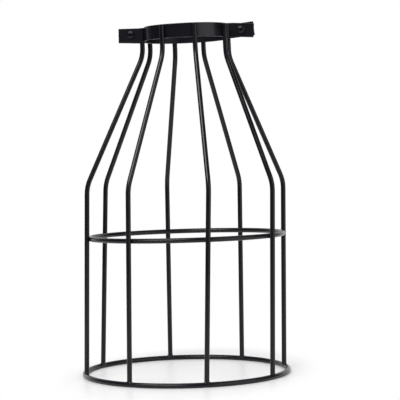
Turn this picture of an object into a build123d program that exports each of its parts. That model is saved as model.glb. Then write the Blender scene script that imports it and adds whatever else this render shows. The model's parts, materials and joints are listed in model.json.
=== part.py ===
from build123d import *
import os
from math import asin, cos, degrees, radians, sin, tan

# Cage lampshade: eight bent steel bars welded to a bottom ring and a middle ring, and at
# the top to a strip steel collar in two halves, which two screws clamp round a lampholder.
# Everything is in millimetres. Z is up, the cage stands on its bottom ring, and the origin
# is on the floor in the middle of that ring. The collar's ears point along X, and its front
# half lies towards -Y. An azimuth is measured from -Y towards +X.

# Wire, the same for the bars and the rings
wire_diameter = 2.8

# Bottom ring, which the feet of the bars stand on
bottom_ring_outer_diameter = 120.0

# Middle ring, inside the bars, welded a little out of level
mid_ring_height = 79.7
mid_ring_right_up = 0.4
mid_ring_front_up = 0.55

# Bars, given at their middle line: straight up from a foot that stands a little inside the
# bottom ring's middle line, inwards from the shoulder, and up at the neck
foot_inset = 0.5
shoulder_radius = 57.8
shoulder_height = 109.6
neck_below_collar = 12.1
bar_bend_radius = 20.0
bar_end_below_strip_edge = 0.6

# Welds: how deep two crossing wires, or a bar and the collar, sink into each other
cross_weld_depth = 0.5
collar_weld_depth = 0.1
foot_weld_depth = 0.7

# The cage leans a little towards its right ear, and the collar is not quite level
cage_lean = 1.3
collar_right_up = 1.3

# Collar strip and its bore, which closes on the lampholder
collar_height = 195.8
bore_diameter = 46.4
strip_width = 8.0
strip_thickness = 1.0
strip_bend_radius = 1.5
strip_edge_radius = 0.3
front_half_above_rear = 0.7

# Ears, measured from the middle of the collar. They are bent edgewise: each half has the
# degrees that its left and its right ear rise towards their ends.
ear_reach = 39.5
ear_end_edge_radius = 0.2
ear_slopes = {"front": (1.6, -4.5), "rear": (3.9, 4.5)}
ear_set_start = 1.5
ear_set_radius = 12.0

# Clamp screws with pan heads and cross recesses, at their heights above the collar's middle
screw_reach = 32.2
screw_heights = {"left": 1.0, "right": 0.3}
screw_turns = {"left": 20.0, "right": 65.0}
screw_diameter = 2.5
screw_length = 6.0
screw_hole_clearance = 0.2
head_diameter = 4.5
head_height = 1.6
head_rim_height = 0.6
recess_width = 0.7
recess_span = 2.5
recess_depth = 0.9
recess_taper = 14.0

# Hexagon nuts behind the ears
nut_turns = {"left": 12.0, "right": 34.0}
nut_across_flats = 5.0
nut_thickness = 2.0
nut_thread_clearance = 0.05
nut_corner_chamfer = 0.25

# Bars by azimuth, each with what its foot, shoulder and neck are out of place, in degrees,
# and how much lower than the others its neck is bent
bar_places = [
    (-67.5, -0.5, 1.5, -2.0, 0.0),
    (-22.5, 1.0, 0.2, 1.5, 0.0),
    (22.5, -0.5, 0.7, -0.5, 0.0),
    (67.5, -0.5, -0.3, 3.2, 1.9),
    (112.5, -0.5, 0.7, 6.2, 1.9),
    (157.5, -1.7, -0.3, 10.5, 0.0),
    (202.5, -1.5, 0.3, 4.0, 0.0),
    (247.5, 2.5, -0.3, -0.5, 0.0),
]

# Sizes that follow from those above
wire_radius = wire_diameter / 2
bottom_ring_radius = bottom_ring_outer_diameter / 2 - wire_radius
foot_radius = bottom_ring_radius - foot_inset
bore_radius = bore_diameter / 2
collar_radius = bore_radius + strip_thickness
neck_radius = collar_radius + wire_radius - collar_weld_depth
screw_radius = screw_diameter / 2
screw_sides = {"left": -screw_reach, "right": screw_reach}


def lean_at(height):
    """Sideways drift of the cage's middle line at a height above the floor."""
    return (height - wire_radius) * tan(radians(cage_lean))


def bar_radius_at(height):
    """Radius of the bars' circle at a height below the shoulder."""
    share = (height - wire_radius) / (shoulder_height - wire_radius)
    return foot_radius + (shoulder_radius - foot_radius) * share


def around(plane, radius, azimuth, height):
    """Point at a radius and azimuth about a plane's own middle, and a height above it."""
    turn = radians(azimuth)
    return plane.from_local_coords(Vector(radius * sin(turn), -radius * cos(turn), height))


def upright(plane, place):
    """Plane through a level plane's middle, facing its front, set off sideways and up."""
    offset, rise = place
    origin = plane.from_local_coords(Vector(offset, 0, rise))
    return Plane(origin=origin, x_dir=plane.x_dir, z_dir=-plane.y_dir)


def level_plane(height, right_up=0.0, front_up=0.0):
    """Level plane on the leaning middle line, tipped up to the right and to the front."""
    middle = Plane(origin=(lean_at(height), 0, height))
    return middle.rotated((-front_up, -right_up, 0))


os.makedirs("parts", exist_ok=True)

floor_ring_plane = Plane.XY.offset(wire_radius)
mid_ring_plane = level_plane(mid_ring_height, mid_ring_right_up, mid_ring_front_up)
mid_ring_radius = bar_radius_at(mid_ring_height) - wire_diameter + cross_weld_depth
collar_plane = level_plane(collar_height, collar_right_up)
half_rises = {"front": front_half_above_rear / 2, "rear": -front_half_above_rear / 2}


def wire_ring(plane, radius, name):
    """Closed ring of wire in a plane, exported under its name."""
    with BuildPart() as ring:
        with BuildSketch(upright(plane, (0, 0))):
            with Locations((radius, 0)):
                Circle(wire_radius)
        revolve(axis=Axis(plane.origin, plane.z_dir))
    ring.part.label = name
    export_step(ring.part, f"parts/{name}.step")
    return ring.part


# Rings of wire, bent round and butt welded
bottom_ring = wire_ring(floor_ring_plane, bottom_ring_radius, "bottom_ring")
mid_ring = wire_ring(mid_ring_plane, mid_ring_radius, "mid_ring")

# Bars, each bent from one length of wire: coped over the bottom ring, welded flat to the
# outside of the middle ring, and laid up the outside of the collar
for number, bar_place in enumerate(bar_places, start=1):
    azimuth, foot_shift, shoulder_shift, neck_shift, neck_drop = bar_place
    rise = half_rises["front" if cos(radians(azimuth)) > 0 else "rear"]
    strip_top = rise + strip_width / 2
    foot = around(floor_ring_plane, foot_radius, azimuth + foot_shift, wire_radius - foot_weld_depth)
    shoulder_plane = level_plane(shoulder_height)
    shoulder = around(shoulder_plane, shoulder_radius, azimuth + shoulder_shift, 0)
    neck_height = -neck_below_collar - neck_drop
    neck = around(collar_plane, neck_radius, azimuth + neck_shift, neck_height)
    end_height = strip_top - bar_end_below_strip_edge
    end = around(collar_plane, neck_radius, azimuth + neck_shift, end_height)
    with BuildPart() as bar:
        with BuildLine() as run:
            FilletPolyline(foot, shoulder, neck, end, radius=bar_bend_radius)
        with BuildSketch(Plane(origin=run.line @ 0, z_dir=run.line % 0)):
            Circle(wire_radius)
        sweep()
        add(bottom_ring, mode=Mode.SUBTRACT)
        add(mid_ring, mode=Mode.SUBTRACT)
        with BuildSketch(collar_plane.offset(rise)):
            Circle(collar_radius)
        extrude(amount=strip_width / 2, both=True, mode=Mode.SUBTRACT)
    bar.part.label = f"bar_{number}"
    export_step(bar.part, f"parts/bar_{number}.step")


def strip_path(plane, way, left_slope, right_slope):
    """Middle line of one half of the collar, from its left ear to its right ear.

    It follows the left ear, which slopes, turns into the band round a small bend, follows
    the band to the same bend on the right, and ends along the right ear, which slopes too.
    way is -1 for the half towards -Y and +1 for the half towards +Y.
    """
    band_radius = bore_radius + strip_thickness / 2
    bend_radius = strip_bend_radius + strip_thickness / 2
    ear_middle = way * strip_thickness / 2
    bend_start = asin((strip_thickness / 2 + bend_radius) / (band_radius + bend_radius))
    bend_turn = way * (90 - degrees(bend_start))
    ear_start = (band_radius + bend_radius) * cos(bend_start)
    set_start = ear_start + ear_set_start
    sloping = ear_reach - set_start

    def ear_end(side, slope):
        """End of an ear's middle line. side is -1 on the left and +1 on the right."""
        out = set_start + sloping * cos(radians(slope))
        return (side * out, ear_middle, sloping * sin(radians(slope)))

    with BuildLine(plane) as path:
        left_ear = FilletPolyline(
            ear_end(-1, left_slope),
            (-set_start, ear_middle, 0),
            (-ear_start, ear_middle, 0),
            radius=ear_set_radius,
        )
        left_bend = JernArc(left_ear @ 1, left_ear % 1, bend_radius, bend_turn)
        band_turn = -way * (180 - 2 * degrees(bend_start))
        band = JernArc(left_bend @ 1, left_bend % 1, band_radius, band_turn)
        JernArc(band @ 1, band % 1, bend_radius, bend_turn)
        FilletPolyline(
            (ear_start, ear_middle, 0),
            (set_start, ear_middle, 0),
            ear_end(1, right_slope),
            radius=ear_set_radius,
        )
    return path.line


def collar_half(half_name, way):
    """Half of the collar, bent from one strip, with a screw hole through each ear."""
    plane = collar_plane.offset(half_rises[half_name])
    path = strip_path(plane, way, *ear_slopes[half_name])
    with BuildPart() as half:
        with BuildSketch(Plane(origin=path @ 0, x_dir=plane.z_dir, z_dir=path % 0)):
            RectangleRounded(strip_width, strip_thickness, strip_edge_radius)
        sweep(path=path)
        ends = half.faces().sort_by(Axis.X)
        fillet(ends[0].edges() + ends[-1].edges(), ear_end_edge_radius)
        for side, offset in screw_sides.items():
            with BuildSketch(upright(collar_plane, (offset, screw_heights[side]))):
                Circle(screw_radius + screw_hole_clearance)
            extrude(amount=way * -2 * strip_thickness, mode=Mode.SUBTRACT)
    half.part.label = f"collar_{half_name}_half"
    export_step(half.part, f"parts/{half.part.label}.step")


# Collar halves, laid ear to ear with the lampholder between them
collar_half("front", -1)
collar_half("rear", 1)


def clamp_screw(side):
    """Pan head screw, its head on the front ear and its shank through both ears."""
    face = upright(collar_plane, (screw_sides[side], screw_heights[side]))
    seat = face.offset(strip_thickness)
    with BuildPart() as screw:
        with BuildSketch(upright(seat, (0, 0))):
            with BuildLine():
                Line((0, 0), (head_diameter / 2, 0))
                Line((head_diameter / 2, 0), (head_diameter / 2, head_rim_height))
                EllipticalCenterArc(
                    (0, head_rim_height),
                    head_diameter / 2,
                    head_height - head_rim_height,
                    arc_size=90,
                )
                Line((0, head_height), (0, 0))
            make_face()
        revolve(axis=Axis(seat.origin, seat.z_dir))
        with BuildSketch(seat):
            Circle(screw_radius)
        extrude(amount=-screw_length)
        with BuildSketch(seat.offset(head_height)):
            Rectangle(recess_span, recess_width, rotation=screw_turns[side])
            Rectangle(recess_width, recess_span, rotation=screw_turns[side])
        extrude(amount=-recess_depth, taper=recess_taper, mode=Mode.SUBTRACT)
    screw.part.label = f"clamp_screw_{side}"
    export_step(screw.part, f"parts/{screw.part.label}.step")


def clamp_nut(side):
    """Hexagon nut against the rear ear, its corners turned off at both faces."""
    face = upright(collar_plane, (screw_sides[side], screw_heights[side]))
    seat = face.offset(-strip_thickness)
    flat_radius = nut_across_flats / 2
    corner_radius = flat_radius / cos(radians(30))
    with BuildPart() as nut:
        with BuildSketch(seat):
            RegularPolygon(flat_radius, 6, major_radius=False, rotation=nut_turns[side])
            Circle(screw_radius + nut_thread_clearance, mode=Mode.SUBTRACT)
        extrude(amount=-nut_thickness)
        with BuildSketch(upright(seat, (0, 0))):
            with BuildLine():
                Polyline(
                    (0, 0),
                    (flat_radius, 0),
                    (corner_radius, -nut_corner_chamfer),
                    (corner_radius, nut_corner_chamfer - nut_thickness),
                    (flat_radius, -nut_thickness),
                    (0, -nut_thickness),
                    close=True,
                )
            make_face()
        revolve(axis=Axis(seat.origin, seat.z_dir), mode=Mode.INTERSECT)
    nut.part.label = f"clamp_nut_{side}"
    export_step(nut.part, f"parts/{nut.part.label}.step")


# Fasteners, a screw and a nut through each pair of ears
for side in screw_sides:
    clamp_screw(side)
    clamp_nut(side)
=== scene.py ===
import json
from math import cos, pi, radians, sin, tan

import bpy
import numpy as np
from mathutils import Matrix, Vector


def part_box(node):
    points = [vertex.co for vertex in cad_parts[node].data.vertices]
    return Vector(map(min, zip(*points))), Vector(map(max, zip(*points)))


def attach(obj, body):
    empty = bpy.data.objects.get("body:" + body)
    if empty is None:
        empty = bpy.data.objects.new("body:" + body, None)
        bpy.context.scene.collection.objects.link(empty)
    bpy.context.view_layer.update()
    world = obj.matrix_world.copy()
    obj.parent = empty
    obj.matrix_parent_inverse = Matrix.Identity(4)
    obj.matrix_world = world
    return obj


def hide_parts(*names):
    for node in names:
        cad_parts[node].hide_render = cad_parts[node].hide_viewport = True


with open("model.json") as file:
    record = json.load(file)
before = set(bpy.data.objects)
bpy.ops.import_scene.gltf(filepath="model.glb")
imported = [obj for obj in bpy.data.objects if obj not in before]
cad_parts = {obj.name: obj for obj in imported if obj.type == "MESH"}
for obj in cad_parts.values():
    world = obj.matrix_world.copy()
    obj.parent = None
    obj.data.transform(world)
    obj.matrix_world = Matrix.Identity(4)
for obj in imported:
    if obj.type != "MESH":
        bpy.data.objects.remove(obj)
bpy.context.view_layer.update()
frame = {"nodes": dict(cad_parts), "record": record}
nodes = frame["nodes"]


# Bottom ring
# One steel wire bent round and butt welded, which the whole cage stands on. It is sprayed
# with the same satin black paint as the bars, a little thick in places and slightly rippled.

class Socket:
    """Output of a shader node. Sums, differences and products add Math nodes."""

    def __init__(self, tree, link):
        self.tree = tree
        self.link = link

    def math(self, operation, first, second):
        return self.tree.node("ShaderNodeMath", {"operation": operation}, {0: first, 1: second})

    def __add__(self, other):
        return self.math("ADD", self, other)

    def __radd__(self, other):
        return self.math("ADD", other, self)

    def __sub__(self, other):
        return self.math("SUBTRACT", self, other)

    def __rsub__(self, other):
        return self.math("SUBTRACT", other, self)

    def __mul__(self, other):
        return self.math("MULTIPLY", self, other)

    def __rmul__(self, other):
        return self.math("MULTIPLY", other, self)


class Tree:
    """Node tree of a material or of the world, emptied first."""

    def __init__(self, owner):
        owner.use_nodes = True
        self.nodes = owner.node_tree.nodes
        self.links = owner.node_tree.links
        self.nodes.clear()

    def node(self, kind, settings=None, sockets=None, out=0):
        """New node of a type, with its settings, then the values or links of its sockets."""
        made = self.nodes.new(kind)
        for name, value in (settings or {}).items():
            setattr(made, name, value)
        for name, value in (sockets or {}).items():
            if isinstance(value, Socket):
                self.links.new(value.link, made.inputs[name])
            else:
                made.inputs[name].default_value = value
        return Socket(self, made.outputs[out]) if made.outputs else None

    def between(self, value, low, high, start=0.0, end=1.0):
        """Value carried smoothly from start, at or under low, to end, at or over high."""
        return self.node(
            "ShaderNodeMapRange",
            {"interpolation_type": "SMOOTHSTEP"},
            {"Value": value, "From Min": low, "From Max": high, "To Min": start, "To Max": end},
        )


def grey(value):
    """Opaque grey as a colour."""
    return (value, value, value, 1.0)


paint_colour = (0.0036, 0.0034, 0.0060, 1.0)
paint_thin_colour = (0.0056, 0.0053, 0.0083, 1.0)
paint_gloss_level = 0.33
patches_per_metre = 60.0
thick_patch_level = 0.35
thin_patch_level = 0.7
patch_sheen = 0.16
nib_cells_per_metre = 150.0
nib_reach = 0.035
nib_sheen = 0.1
nib_height = 0.25


def satin_paint(name, roughness, ripple_size, ripple_depth):
    """Satin black paint on steel: soft ripples, patches of thicker paint and a few dust nibs."""
    material = bpy.data.materials.new(name)
    tree = Tree(material)
    place = tree.node("ShaderNodeTexCoord", out="Object")
    patches = tree.node(
        "ShaderNodeTexNoise",
        sockets={"Vector": place, "Scale": patches_per_metre, "Detail": 1.0, "Roughness": 0.5},
    )
    ripples = tree.node(
        "ShaderNodeTexNoise", sockets={"Vector": place, "Scale": 1 / ripple_size, "Detail": 1.0}
    )
    specks = tree.node("ShaderNodeTexVoronoi", sockets={"Vector": place, "Scale": nib_cells_per_metre})
    nibs = tree.between(specks, 0.0, nib_reach, start=1.0, end=0.0)
    thin = tree.between(patches, thick_patch_level, thin_patch_level)
    colour = tree.node(
        "ShaderNodeMix",
        {"data_type": "RGBA"},
        {"Factor": thin, 6: paint_colour, 7: paint_thin_colour},
        out=2,
    )
    sheen = roughness + (patches - 0.5) * patch_sheen + nibs * nib_sheen
    height = ripples + nibs * nib_height
    relief = tree.node(
        "ShaderNodeBump", sockets={"Strength": 1.0, "Distance": ripple_depth, "Height": height}
    )
    surface = tree.node(
        "ShaderNodeBsdfPrincipled",
        sockets={
            "Base Color": colour,
            "Roughness": sheen,
            "Specular IOR Level": paint_gloss_level,
            "Normal": relief,
        },
    )
    tree.node("ShaderNodeOutputMaterial", sockets={"Surface": surface})
    return material


def finish_node(name, material):
    """Gives a node of the frame its finish."""
    nodes[name].data.materials.clear()
    nodes[name].data.materials.append(material)


painted_wire = satin_paint(
    "satin_painted_wire", roughness=0.26, ripple_size=0.003, ripple_depth=0.000012
)
finish_node("bottom_ring", painted_wire)
ring_low, ring_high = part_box("bottom_ring")
wire_radius = (ring_high.z - ring_low.z) / 2
bottom_ring_radius = (ring_high.x - ring_low.x) / 2 - wire_radius


# Middle ring
# The same wire bent round a little smaller, so that it lies inside the bars. It is welded
# to each of them, not quite level.

finish_node("mid_ring", painted_wire)


# Bars
# Eight steel bars, each bent at the shoulder and at the neck from one length of wire. Their
# feet stand on the bottom ring and their tops lie on the outside of the collar.

bar_names = [f"bar_{number}" for number in range(1, 9)]
for bar_name in bar_names:
    finish_node(bar_name, painted_wire)


# Foot welds
# Small beads of weld, under the paint, round each foot where it stands on the bottom ring.
# A bead is hollow in section: it climbs the bar on one side and runs out on the ring.

bead_steps = 96
bead_section_steps = 10
bead_waves = 4
bead_wave_height = 0.07
foot_bead_on_bar = 0.0007
foot_bead_on_ring = 0.0008
foot_bead_sunk_share = 0.995
foot_bead_corner_share = 1.06
foot_bead_corner_rise = 0.0001
foot_bead_buried_share = 0.7
foot_bead_buried_rise = -0.0003
foot_measured_at = (0.006, 0.026)


def mesh_points(node_name):
    """All corners of a node's mesh as rows of x, y and z."""
    mesh = nodes[node_name].data
    points = np.empty(len(mesh.vertices) * 3)
    mesh.vertices.foreach_get("co", points)
    return points.reshape(-1, 3)


def bar_middle(node_name, height):
    """Middle of a bar at a height: the middle of the box round where its edges cross it."""
    mesh = nodes[node_name].data
    ends = np.empty(len(mesh.edges) * 2, int)
    mesh.edges.foreach_get("vertices", ends)
    first, last = mesh_points(node_name)[ends.reshape(-1, 2)].transpose(1, 0, 2)
    crossing = (first[:, 2] - height) * (last[:, 2] - height) < 0
    first, last = first[crossing], last[crossing]
    share = (height - first[:, 2]) / (last[:, 2] - first[:, 2])
    cut = first + (last - first) * share[:, None]
    return (cut.min(axis=0) + cut.max(axis=0)) / 2


def unit(vector):
    """Vector of the same direction and length one."""
    return vector / np.linalg.norm(vector)


def closed_piece(name, rows, material, joined):
    """Closed smooth mesh through rows of points, each row a loop.

    The last row is joined to the first, or else both end rows are closed to their middles.
    The faces are turned outwards by the sign of the volume that they enclose.
    """
    count, around = rows.shape[:2]
    points = rows.reshape(-1, 3)
    row = np.arange(count if joined else count - 1)[:, None]
    column = np.arange(around)[None, :]
    next_row = (row + 1) % count
    next_column = (column + 1) % around
    corners = [
        row * around + column,
        next_row * around + column,
        next_row * around + next_column,
        row * around + next_column,
    ]
    quads = np.stack(corners, axis=-1).reshape(-1, 4)
    faces = quads.tolist()
    triangles = np.concatenate([quads[:, [0, 1, 2]], quads[:, [0, 2, 3]]])
    if not joined:
        middles = np.array([rows[0].mean(axis=0), rows[-1].mean(axis=0)])
        points = np.concatenate([points, middles])
        one = np.arange(around)
        other = (one + 1) % around
        first_middle = np.full(around, count * around)
        last_start = (count - 1) * around
        fans = np.concatenate([
            np.stack([first_middle, one, other], axis=-1),
            np.stack([first_middle + 1, last_start + other, last_start + one], axis=-1),
        ])
        faces += fans.tolist()
        triangles = np.concatenate([triangles, fans])
    a, b, c = points[triangles].transpose(1, 0, 2)
    if np.sum(np.cross(a, b) * c) < 0:
        faces = [face[::-1] for face in faces]
    mesh = bpy.data.meshes.new(name)
    mesh.from_pydata(points.tolist(), [], faces)
    mesh.shade_smooth()
    mesh.materials.append(material)
    piece = bpy.data.objects.new(name, mesh)
    bpy.context.scene.collection.objects.link(piece)
    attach(piece, "root")
    return piece


def bead_rows(on_one, on_other, corner, buried):
    """Closed section of a bead at each place along it.

    The outside is a curve from one surface to the other, drawn towards the corner between
    them: (1 - t)^2 one + 2 t (1 - t) corner + t^2 other. The way back is the same sort of
    curve through a point buried in the metal.
    """
    share = np.linspace(0, 1, bead_section_steps, endpoint=False)[None, :, None]
    one, other = on_one[:, None, :], on_other[:, None, :]
    bend, under = corner[:, None, :], buried[:, None, :]
    outside = (1 - share) ** 2 * one + 2 * share * (1 - share) * bend + share**2 * other
    inside = (1 - share) ** 2 * other + 2 * share * (1 - share) * under + share**2 * one
    return np.concatenate([outside, inside], axis=1)


def uneven(turns, seed):
    """Factor that wanders round a bead.

    It is one plus a few sines of whole multiples of the turn, each with a seeded phase.
    """
    phases = np.random.default_rng(seed).uniform(0, 2 * pi, bead_waves)
    waves = [np.sin(wave * turns + phase) for wave, phase in enumerate(phases, start=1)]
    return 1 + sum(bead_wave_height * wave for wave in waves)


def ring_surface(centre, radius, along, around, up_tilt):
    """Points on a wire ring: at arc lengths along its middle line and round its section.

    Each stands out from the axis by the ring's radius plus the wire's times the sine of the
    turn round the section, and is raised by the wire's radius times its cosine.
    """
    turn = along / radius
    out = radius + wire_radius * np.sin(around / wire_radius)
    rise = wire_radius * np.cos(around / wire_radius)
    flat = np.stack([out * np.sin(turn), -out * np.cos(turn), rise], axis=-1)
    return centre + flat @ up_tilt.T


def foot_weld(number, node_name):
    """Bead round the foot of one bar.

    At each angle round the bar the corner is where its side meets the ring's top, or its
    end, where it stands over the ring's inner side.
    """
    low_middle = bar_middle(node_name, foot_measured_at[0])
    high_middle = bar_middle(node_name, foot_measured_at[1])
    run = unit(high_middle - low_middle)
    ring_level = wire_radius
    start = low_middle + run * (ring_level + wire_radius - low_middle[2]) / run[2]
    azimuth = np.arctan2(start[0], -start[1])
    outward = np.array([np.sin(azimuth), -np.cos(azimuth), 0])
    along = np.array([np.cos(azimuth), np.sin(azimuth), 0])
    inset = np.linalg.norm(start[:2]) - bottom_ring_radius
    foot_level = mesh_points(node_name)[:, 2].min() - ring_level
    turns = np.linspace(0, 2 * pi, bead_steps, endpoint=False)
    across = inset + wire_radius * np.cos(turns)
    sideways = wire_radius * np.sin(turns)
    reach = np.clip(across, -wire_radius, wire_radius)
    level = np.maximum(np.sqrt(wire_radius**2 - reach**2), foot_level)
    around = np.sign(across) * wire_radius * np.arccos(level / wire_radius)
    wander = uneven(turns, number)

    def on_bar(rise, radius):
        side = outward * (radius * np.cos(turns))[:, None] + along * (radius * np.sin(turns))[:, None]
        return start + side + run * (level + rise - wire_radius)[:, None]

    place = azimuth * bottom_ring_radius + sideways + foot_bead_on_ring * wander * np.sin(turns)
    spread = around + foot_bead_on_ring * wander * np.cos(turns)
    middle = np.array([0, 0, ring_level])
    on_ring = ring_surface(middle, bottom_ring_radius, place, spread, np.eye(3))
    rows = bead_rows(
        on_bar(foot_bead_on_bar * wander, wire_radius * foot_bead_sunk_share),
        on_ring,
        on_bar(foot_bead_corner_rise, wire_radius * foot_bead_corner_share),
        on_bar(foot_bead_buried_rise, wire_radius * foot_bead_buried_share),
    )
    weld = closed_piece(f"foot_weld_{number}", rows, painted_wire, joined=True)


for number, bar_name in enumerate(bar_names, start=1):
    foot_weld(number, bar_name)


# Middle ring welds
# Where each bar crosses the middle ring, the two wires were pressed together hot and sank
# into each other, and a little metal was squeezed out into the grooves between them.

cross_bead_width = 0.00055
cross_bead_first_seed = 20
cross_bead_sunk_share = 0.99
cross_bead_corner_share = 1.06
cross_bead_buried_share = 0.7
measured_off_ring = 0.004
interval_halvings = 40


def ring_plane(node_name):
    """Middle of a ring and the turn that tips it, from the plane that fits its corners."""
    points = mesh_points(node_name)
    middle = points.mean(axis=0)
    slopes = np.linalg.lstsq(points[:, :2] - middle[:2], points[:, 2] - middle[2], rcond=None)[0]
    up = unit(np.array([-slopes[0], -slopes[1], 1]))
    right = unit(np.array([1, 0, slopes[0]]))
    return middle, np.stack([right, np.cross(up, right), up], axis=-1)


def cross_weld(number, node_name):
    """Bead round the patch where one bar and the middle ring sink into each other.

    The patch's edge is where both round surfaces meet: with p its distance from the middle,
    sqrt(r^2 - (p cos)^2) + sqrt(r^2 - (p sin)^2) is the distance between the middle lines,
    which halving the interval finds for every angle at once.
    """
    middle, tilt = ring_plane("mid_ring")
    ring_low, ring_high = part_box("mid_ring")
    ring_radius = (ring_high.y - ring_low.y) / 2 - wire_radius
    above = bar_middle(node_name, middle[2] + measured_off_ring)
    below = bar_middle(node_name, middle[2] - measured_off_ring)
    run = unit(above - below)
    local = ((above + below) / 2 - middle) @ tilt
    azimuth = np.arctan2(local[0], -local[1])
    outward = tilt @ np.array([np.sin(azimuth), -np.cos(azimuth), 0])
    sideways = unit(np.cross(run, outward))
    on_line = (above + below) / 2
    crossing = on_line - run * (local[2] / (run @ tilt[:, 2]))
    apart = np.linalg.norm(local[:2]) - ring_radius
    turns = np.linspace(0, 2 * pi, bead_steps, endpoint=False)
    near, far = np.zeros(bead_steps), np.full(bead_steps, wire_radius)
    for _ in range(interval_halvings):
        half = (near + far) / 2
        reach = np.sqrt(wire_radius**2 - (half * np.cos(turns)) ** 2)
        reach += np.sqrt(wire_radius**2 - (half * np.sin(turns)) ** 2)
        near = np.where(reach > apart, half, near)
        far = np.where(reach > apart, far, half)
    edge_along, edge_up = near * np.cos(turns), near * np.sin(turns)
    bar_turn = np.arcsin(edge_along / wire_radius)
    ring_turn = np.arcsin(edge_up / wire_radius)
    width = cross_bead_width * uneven(turns, cross_bead_first_seed + number)
    sideways_bead, upward_bead = width * np.cos(turns), width * np.sin(turns)

    def on_bar(turn, rise, radius):
        flat = -outward * (radius * np.cos(turn))[:, None] + sideways * (radius * np.sin(turn))[:, None]
        return crossing + flat + run * rise[:, None]

    def on_ring(turn, along, radius):
        flat = outward * (radius * np.cos(turn))[:, None] + tilt[:, 2] * (radius * np.sin(turn))[:, None]
        bow = outward * (along**2 / (2 * ring_radius))[:, None]
        return crossing - outward * apart + flat + sideways * along[:, None] - bow

    sunk = wire_radius * cross_bead_sunk_share
    corner, buried = cross_bead_corner_share, cross_bead_buried_share
    rows = bead_rows(
        on_bar(bar_turn + sideways_bead / wire_radius, edge_up + upward_bead, sunk),
        on_ring(ring_turn + upward_bead / wire_radius, edge_along + sideways_bead, sunk),
        on_bar(bar_turn * corner, edge_up * corner, wire_radius),
        on_bar(bar_turn * buried, edge_up * buried, wire_radius),
    )
    weld = closed_piece(f"cross_weld_{number}", rows, painted_wire, joined=True)


for number, bar_name in enumerate(bar_names, start=1):
    cross_weld(number, bar_name)


# Collar
# Two halves bent from steel strip with rounded edges, laid ear to ear. The bars are welded
# to the outside of the band, so that the lampholder's sleeve passes freely through it.

painted_strip = satin_paint(
    "satin_painted_strip", roughness=0.27, ripple_size=0.0035, ripple_depth=0.000014
)
for half_name in ("collar_front_half", "collar_rear_half"):
    finish_node(half_name, painted_strip)


# Collar welds
# A slim bead down each side of a bar where it lies on the band. It thins out at both ends,
# at the top of the bar and at the band's lower edge.

strip_width = 0.008
strip_thickness = 0.001
bar_top_below_edge = 0.0006
collar_bead_width = 0.00055
collar_bead_end_share = 1.02
collar_bead_taper = 6
collar_bead_steps = 48
collar_bead_first_seed = 40
collar_bead_sunk_on_bar = 0.99
collar_bead_sunk_on_band = 0.999
collar_bead_corner_share = 0.12
collar_bead_buried_share = 0.6
neck_measured_at = 0.1895
clamp = next(mount for mount in frame["record"]["mounts"] if mount["name"] == "collar_clamp")
collar_middle = np.array(clamp["pos_m"])
collar_axis = unit(np.array(clamp["axis"]))
band_radius = clamp["dims"]["r_mm"] / 1000 + strip_thickness


def collar_weld(number, node_name, side):
    """Bead along one side of a bar's top, its width tapered to both ends.

    With s the share of its length, the width goes as 1.02 less the sixth power of 2 s - 1.
    The corner is where the bar's and the band's circles meet, by the law of cosines from
    their two radii and the distance between their middles.
    """
    neck = bar_middle(node_name, neck_measured_at) - collar_middle
    flat = neck - collar_axis * (neck @ collar_axis)
    apart = np.linalg.norm(flat)
    outward = flat / apart
    sideways = side * np.cross(collar_axis, outward)
    top = ((mesh_points(node_name) - collar_middle) @ collar_axis).max()
    bottom = top + bar_top_below_edge - strip_width
    share = np.linspace(0, 1, collar_bead_steps)
    rise = collar_axis * (bottom + (top - bottom) * share)[:, None]
    width = collar_bead_width * (collar_bead_end_share - (2 * share - 1) ** collar_bead_taper)
    seed = collar_bead_first_seed + 2 * number + (side > 0)
    width = width * uneven(2 * pi * share, seed)
    on_band_turn = np.arccos((band_radius**2 + apart**2 - wire_radius**2) / (2 * band_radius * apart))
    on_bar_turn = np.arccos((wire_radius**2 + apart**2 - band_radius**2) / (2 * wire_radius * apart))

    def on_bar(turn, radius):
        turn = np.broadcast_to(turn, share.shape)
        out = apart - radius * np.cos(turn)
        return collar_middle + rise + outward * out[:, None] + sideways * (radius * np.sin(turn))[:, None]

    def on_band(turn, radius):
        turn = np.broadcast_to(turn, share.shape)
        out = radius * np.cos(turn)
        return collar_middle + rise + outward * out[:, None] + sideways * (radius * np.sin(turn))[:, None]

    rows = bead_rows(
        on_bar(on_bar_turn + width / wire_radius, wire_radius * collar_bead_sunk_on_bar),
        on_band(on_band_turn + width / band_radius, band_radius * collar_bead_sunk_on_band),
        on_bar(on_bar_turn + collar_bead_corner_share * width / wire_radius, wire_radius),
        on_bar(on_bar_turn * collar_bead_buried_share, wire_radius),
    )
    side_name = "right" if side > 0 else "left"
    weld = closed_piece(f"collar_weld_{number}_{side_name}", rows, painted_strip, joined=False)


for number, bar_name in enumerate(bar_names, start=1):
    for side in (-1, 1):
        collar_weld(number, bar_name, side)


# Clamp screws
# Steel screws with domed heads, a cross recess and a rolled thread. They were painted with
# the cage, and the paint lies thicker in the recess.

head_radius = 0.00225
head_height = 0.0016
head_rim_height = 0.0006
recess_depth = 0.0009
recess_width = 0.0007
recess_span = 0.0025
recess_taper = radians(14)
shank_radius = 0.00125
thread_pitch = 0.00045
thread_depth = 0.00027
thread_flank_gain = 1.3
thread_root_cut = 0.15
shank_end_chamfer = 0.0003
rim_start_share = 0.8
under_head_start_share = 0.97
head_middle_turn = 0.01
shank_start = 0.00001
screw_around = 144
head_rows = 72
rim_rows = 5
shank_rows = 150
screw_turns = {"left": radians(20), "right": radians(65)}
painted_screws = satin_paint(
    "satin_painted_screws", roughness=0.3, ripple_size=0.0008, ripple_depth=0.00002
)


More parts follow.
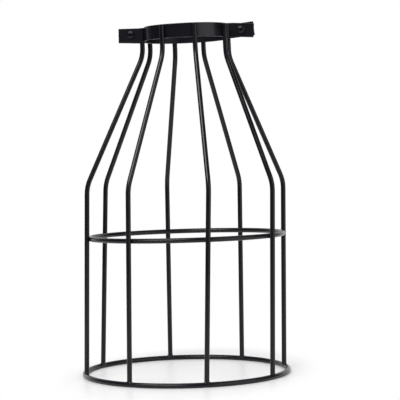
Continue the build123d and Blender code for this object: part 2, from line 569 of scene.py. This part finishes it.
def threaded_screw(side):
    """Screw as one surface: rows run over the head, down the rim and along the thread.

    Across the head the height is a dome less the recess, which deepens with the distance
    inside a cross over the tangent of its taper. Along the shank the radius follows a
    ridged wave of the height over the pitch less the turn.
    """
    low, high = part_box(f"clamp_screw_{side}")
    axis_x, axis_z = (low.x + high.x) / 2, (low.z + high.z) / 2
    seat = low.y + head_height
    shank_length = high.y - seat
    turn = np.linspace(0, 2 * pi, screw_around, endpoint=False)[None, :]

    spread = np.sin(np.linspace(head_middle_turn, pi / 2, head_rows))
    out = head_radius * spread[:, None] * np.ones_like(turn)
    across = out * np.cos(turn - screw_turns[side])
    along = out * np.sin(turn - screw_turns[side])
    one_arm = np.maximum(abs(across) - recess_span / 2, abs(along) - recess_width / 2)
    other_arm = np.maximum(abs(across) - recess_width / 2, abs(along) - recess_span / 2)
    inside = np.clip(-np.minimum(one_arm, other_arm), 0, None)
    dome = head_rim_height + (head_height - head_rim_height) * np.sqrt(1 - (out / head_radius) ** 2)
    deepest = np.maximum(dome - (head_height - recess_depth), 0)
    head_top = dome - np.minimum(inside / tan(recess_taper), deepest)

    rim_rise = np.linspace(head_rim_height * rim_start_share, 0, rim_rows)
    rim_rise = rim_rise[:, None] * np.ones_like(turn)
    rim_out = np.full_like(rim_rise, head_radius)
    under_out = np.linspace(head_radius * under_head_start_share, shank_radius, rim_rows)
    under_out = under_out[:, None] * np.ones_like(turn)
    under_rise = np.zeros_like(under_out)

    depth = np.linspace(shank_start, shank_length, shank_rows)[:, None] * np.ones_like(turn)
    wave = abs(2 * np.mod(depth / thread_pitch - turn / (2 * pi), 1) - 1)
    ridge = np.clip(thread_flank_gain * wave - thread_root_cut, 0, 1)
    shank_out = shank_radius - thread_depth * (1 - ridge)
    end_limit = shank_radius - shank_end_chamfer + (shank_length - depth)
    shank_out = np.minimum(shank_out, end_limit)

    radius = np.concatenate([out, rim_out, under_out, shank_out])
    rise = np.concatenate([head_top, rim_rise, under_rise, -depth])
    swing = np.broadcast_to(turn, radius.shape)
    rows = np.stack(
        [axis_x + radius * np.cos(swing), seat - rise, axis_z + radius * np.sin(swing)], axis=-1
    )
    screw = closed_piece(f"threaded_screw_{side}", rows, painted_screws, joined=False)
    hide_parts(f"clamp_screw_{side}")


for side in screw_turns:
    threaded_screw(side)


# Clamp nuts
# Hexagon nuts behind the rear ears, painted with the cage.

for side in screw_turns:
    finish_node(f"clamp_nut_{side}", painted_screws)


# Floor
# A round sheet of smooth white card. Close to the cage it keeps the soft shadow, and further
# out it turns into an even white, nearer at the sides than in front and behind, so that its
# edge doesn't show.

floor_radius = 0.45
floor_steps = 96
card_grey = 0.84
card_roughness = 0.4
card_drawn_in = (1.6, 1.0, 1.0)
card_white_from = 0.09
card_white_at = 0.125
floor_turn = np.linspace(0, 2 * pi, floor_steps, endpoint=False)
floor_rim = floor_radius * np.stack([np.cos(floor_turn), np.sin(floor_turn), 0 * floor_turn], axis=-1)
floor = bpy.data.objects.new("floor", bpy.data.meshes.new("floor"))
floor.data.from_pydata(floor_rim.tolist(), [], [list(range(floor_steps))])
bpy.context.scene.collection.objects.link(floor)

white_card = bpy.data.materials.new("white_card")
card = Tree(white_card)
card_place = card.node("ShaderNodeTexCoord", out="Object")
card_drawn = card.node(
    "ShaderNodeVectorMath", {"operation": "MULTIPLY"}, {0: card_place, 1: card_drawn_in}
)
card_distance = card.node(
    "ShaderNodeVectorMath", {"operation": "LENGTH"}, {0: card_drawn}, out="Value"
)
card_far = card.between(card_distance, card_white_from, card_white_at)
card_path = card.nodes.new("ShaderNodeLightPath")
card_seen = sum(
    Socket(card, card_path.outputs[ray])
    for ray in ("Is Camera Ray", "Is Glossy Ray", "Is Transmission Ray")
)
card_lit = card.node(
    "ShaderNodeBsdfPrincipled", sockets={"Base Color": grey(card_grey), "Roughness": card_roughness}
)
card_white = card.node("ShaderNodeEmission", sockets={"Color": grey(1.0), "Strength": 1.0})
card_mix = card.node(
    "ShaderNodeMixShader", sockets={0: card_seen * card_far, 1: card_lit, 2: card_white}
)
card.node("ShaderNodeOutputMaterial", sockets={"Surface": card_mix})
floor.data.materials.append(white_card)


# Studio
# A soft lamp high on the left and a soft box low on the right. The paint reflects a dark room,
# with white only behind the cage and a paler ceiling.

camera_azimuth = 11.3
light_target = Vector((0, 0, 0.11))
room_dark_level = 0.05
room_ceiling_level = 0.4
room_ceiling_from = 0.6
room_ceiling_full = 0.97
room_white_full = -0.8
room_white_to = -0.5
room_fill_level = 0.66


def direction(azimuth, elevation):
    """Unit vector at an azimuth, from -Y towards +X, and an elevation, both in degrees."""
    turn, lift = radians(azimuth), radians(elevation)
    return Vector((sin(turn) * cos(lift), -cos(turn) * cos(lift), sin(lift)))


def soft_box(name, azimuth, elevation, distance, width, height, brightness):
    """Area lamp that faces the cage, with a given brightness of its own surface."""
    lamp = bpy.data.lights.new(name, "AREA")
    lamp.shape = "RECTANGLE"
    lamp.size, lamp.size_y = width, height
    lamp.energy = brightness * pi * width * height
    holder = bpy.data.objects.new(name, lamp)
    aim = direction(azimuth, elevation)
    holder.location = light_target + aim * distance
    holder.rotation_euler = aim.to_track_quat("Z", "Y").to_euler()
    bpy.context.scene.collection.objects.link(holder)


soft_box(
    "high_left_lamp",
    azimuth=camera_azimuth - 32,
    elevation=42,
    distance=1.2,
    width=0.9,
    height=0.5,
    brightness=8.2,
)
soft_box(
    "low_right_box",
    azimuth=camera_azimuth + 57,
    elevation=10,
    distance=1.0,
    width=0.95,
    height=0.7,
    brightness=1.4,
)

world = bpy.data.worlds.new("studio")
bpy.context.scene.world = world
room = Tree(world)
room_direction = room.node("ShaderNodeTexCoord", out="Generated")


def room_towards(way):
    """How far each direction of the room points along one way, from -1 to 1."""
    settings = {"operation": "DOT_PRODUCT"}
    return room.node("ShaderNodeVectorMath", settings, {0: room_direction, 1: way}, out="Value")


room_front = room_towards(direction(camera_azimuth, 0))
room_high = room_towards(direction(0, 90))
room_above = room.between(room_high, room_ceiling_from, room_ceiling_full, end=room_ceiling_level)
room_behind = room.between(
    room_front, room_white_full, room_white_to, start=1.0, end=room_dark_level
)
room_brightness = room_behind + room_above
room_path = room.nodes.new("ShaderNodeLightPath")


def room_ray(name):
    """Output of the world's light path that is one for this kind of ray."""
    return Socket(room, room_path.outputs[name])


room_white = room_ray("Is Camera Ray") + room_ray("Is Transmission Ray")
room_reflected = room_ray("Is Glossy Ray") * room_brightness
room_fill = room_ray("Is Diffuse Ray") * room_fill_level
room_shade = room.node(
    "ShaderNodeBackground",
    sockets={"Color": grey(1.0), "Strength": room_white + room_reflected + room_fill},
)
room.node("ShaderNodeOutputWorld", sockets={"Surface": room_shade})


# Camera
# At the height of the upper middle of the cage, turned and tipped a little down.

camera_distance = 0.9535
camera_height = 0.1368
camera_turn = 0.607
camera_tip = 2.217
camera_roll = -1.392
camera_lens = 149.04

eye = bpy.data.cameras.new("camera")
eye.sensor_width = 36.0
eye.lens = camera_lens
eye.clip_start, eye.clip_end = 0.01, 200.0
camera = bpy.data.objects.new("camera", eye)
bpy.context.scene.collection.objects.link(camera)
heading = radians(camera_azimuth - camera_turn)
tip, roll = radians(camera_tip), radians(camera_roll)
ahead = Vector((-sin(heading) * cos(tip), cos(heading) * cos(tip), -sin(tip)))
level_right = Vector((cos(heading), sin(heading), 0))
level_up = level_right.cross(ahead)
right = level_right * cos(roll) + level_up * sin(roll)
up = level_up * cos(roll) - level_right * sin(roll)
camera.matrix_world = Matrix((right, up, -ahead)).transposed().to_4x4()
camera.location = direction(camera_azimuth, 0) * camera_distance + Vector((0, 0, camera_height))
bpy.context.scene.camera = camera
bpy.context.scene.view_settings.view_transform = "Standard"
